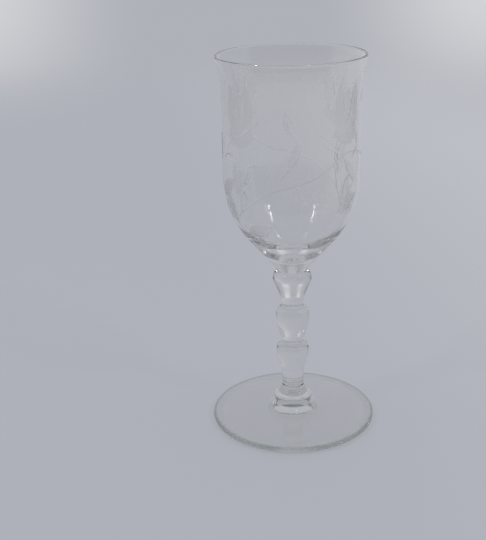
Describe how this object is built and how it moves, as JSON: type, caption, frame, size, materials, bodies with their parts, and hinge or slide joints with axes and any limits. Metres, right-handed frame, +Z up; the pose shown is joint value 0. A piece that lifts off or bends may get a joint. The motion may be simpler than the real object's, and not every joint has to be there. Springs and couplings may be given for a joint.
{
  "type": "wine glass",
  "caption": "Clear stem goblet with a deep cut bowl, a turned-out lip, a knopped stem, a collar and a disc foot.",
  "frame": {"origin": "middle of the foot's underside, on the surface that the glass stands on", "axes": "+Z up along the stem's axis to the rim; the shape is round about Z, so +X and +Y are free"},
  "size_m": [0.0848, 0.0848, 0.19],
  "materials": {
    "stem_glass": "fire-polished clear glass",
    "bowl_glass": "fire-polished clear glass with matt wheel cutting"
  },
  "bodies": {
    "root": {"foot": "stem_glass", "foot_collar": "stem_glass", "lower_knop": "stem_glass", "middle_knop": "stem_glass", "upper_knop": "stem_glass", "bowl": "bowl_glass"}
  },
  "joints": []
}
